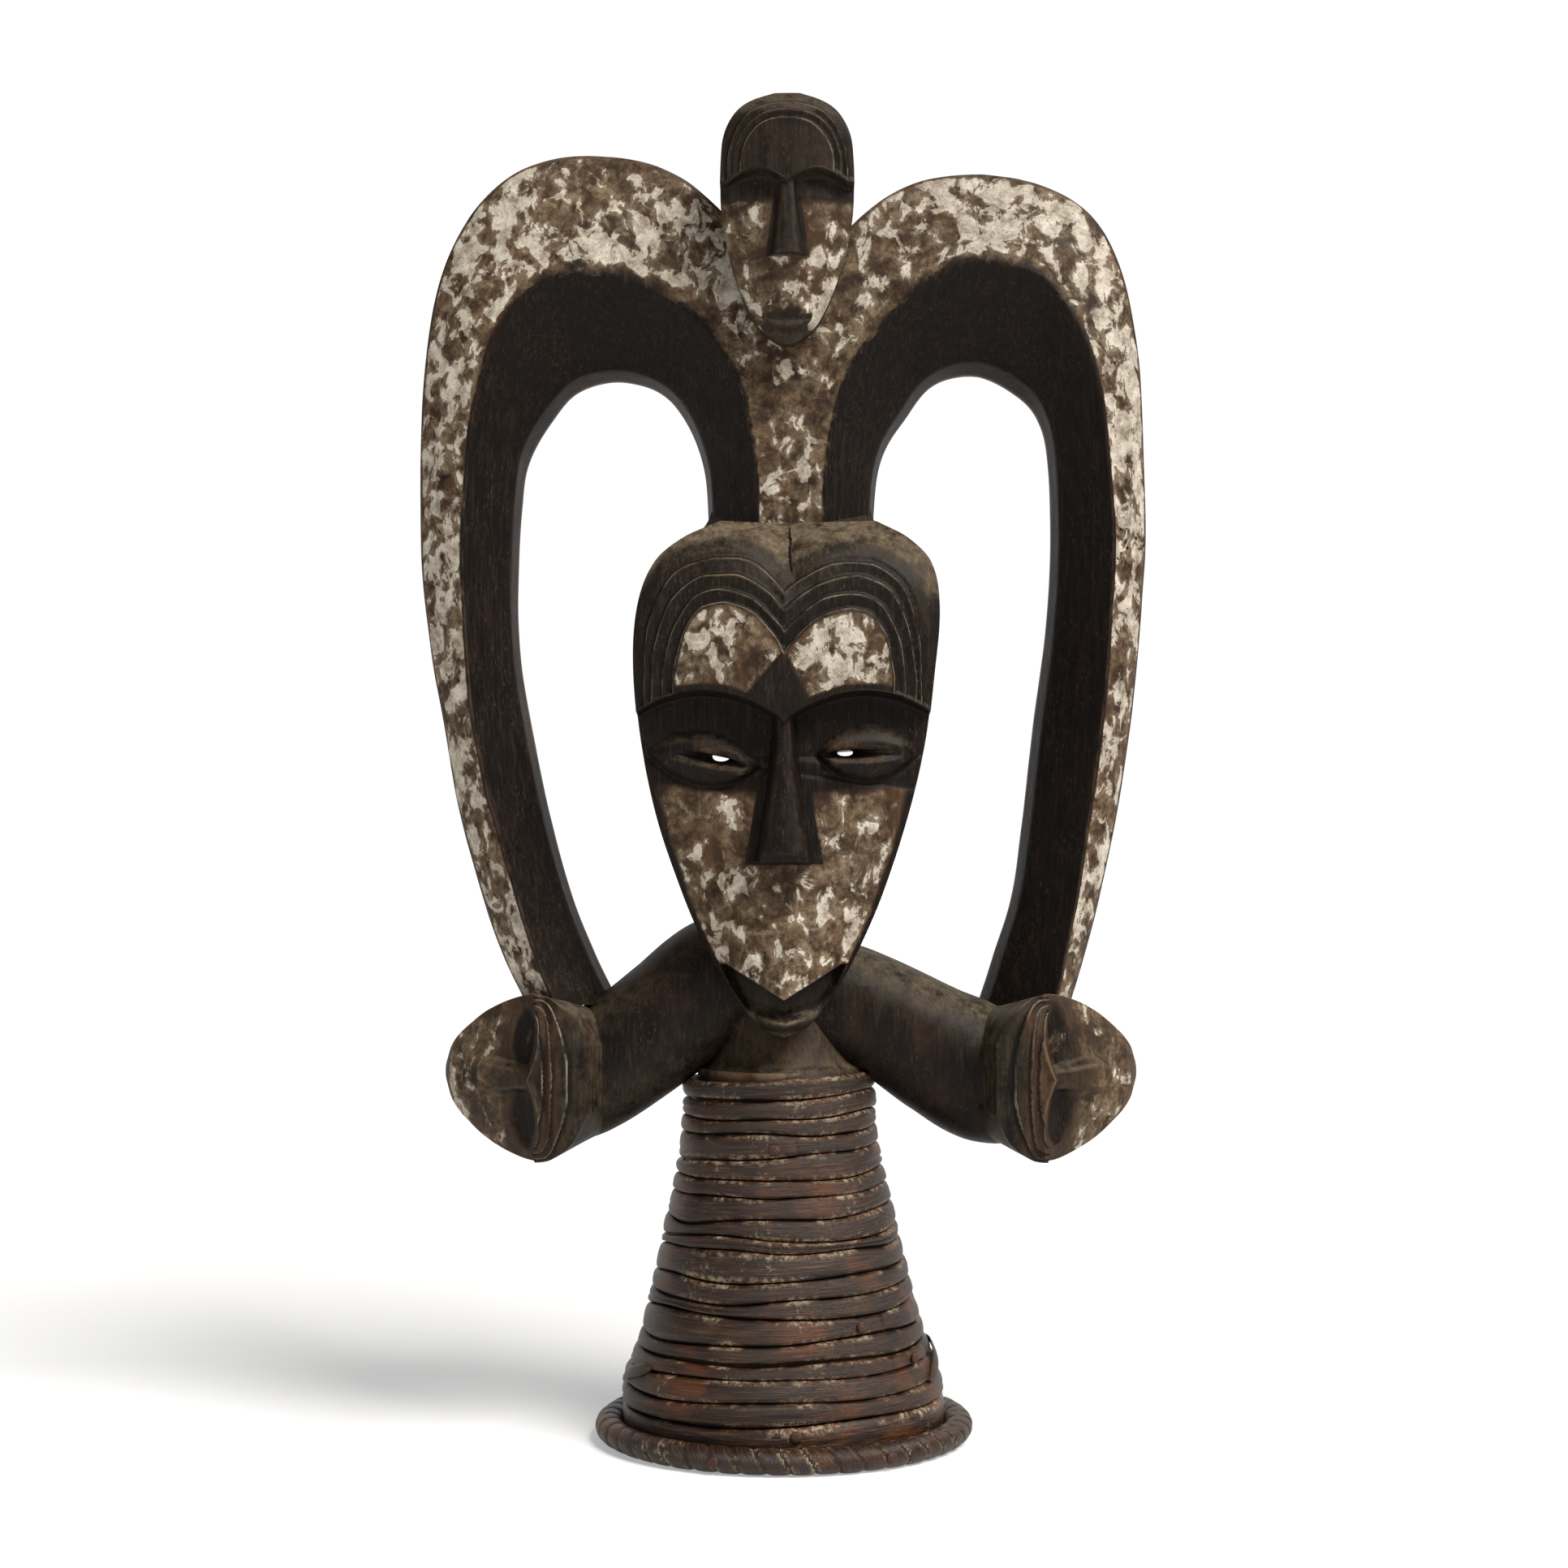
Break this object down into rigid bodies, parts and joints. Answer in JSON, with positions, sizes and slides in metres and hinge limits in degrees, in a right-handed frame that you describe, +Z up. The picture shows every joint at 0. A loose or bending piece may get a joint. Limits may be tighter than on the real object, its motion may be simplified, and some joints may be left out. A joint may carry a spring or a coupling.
{
  "type": "carved mask crest",
  "caption": "Tall carved wooden mask with arched horns, small heads at the fork and arm ends, and a flared foot wound with nailed rattan.",
  "frame": {"origin": "middle of the underside, on the foot's axis", "axes": "+Z up along the foot's axis, the mask faces -Y, +X to the viewer's right"},
  "size_m": [0.3873, 0.2007, 0.709],
  "materials": {
    "wood": "satin",
    "rattan": "satin",
    "iron": "rusted"
  },
  "bodies": {
    "root": {"carved_wood": "wood", "rim_hoop": "rattan", "rattan_strip_1": "rattan", "strip_nail_1": "iron", "rattan_strip_2": "rattan", "strip_nail_2": "iron", "rattan_strip_3": "rattan", "strip_nail_3": "iron", "rattan_strip_4": "rattan", "strip_nail_4": "iron", "hoop_nail_1": "iron", "hoop_nail_2": "iron", "hoop_nail_3": "iron"}
  },
  "joints": []
}
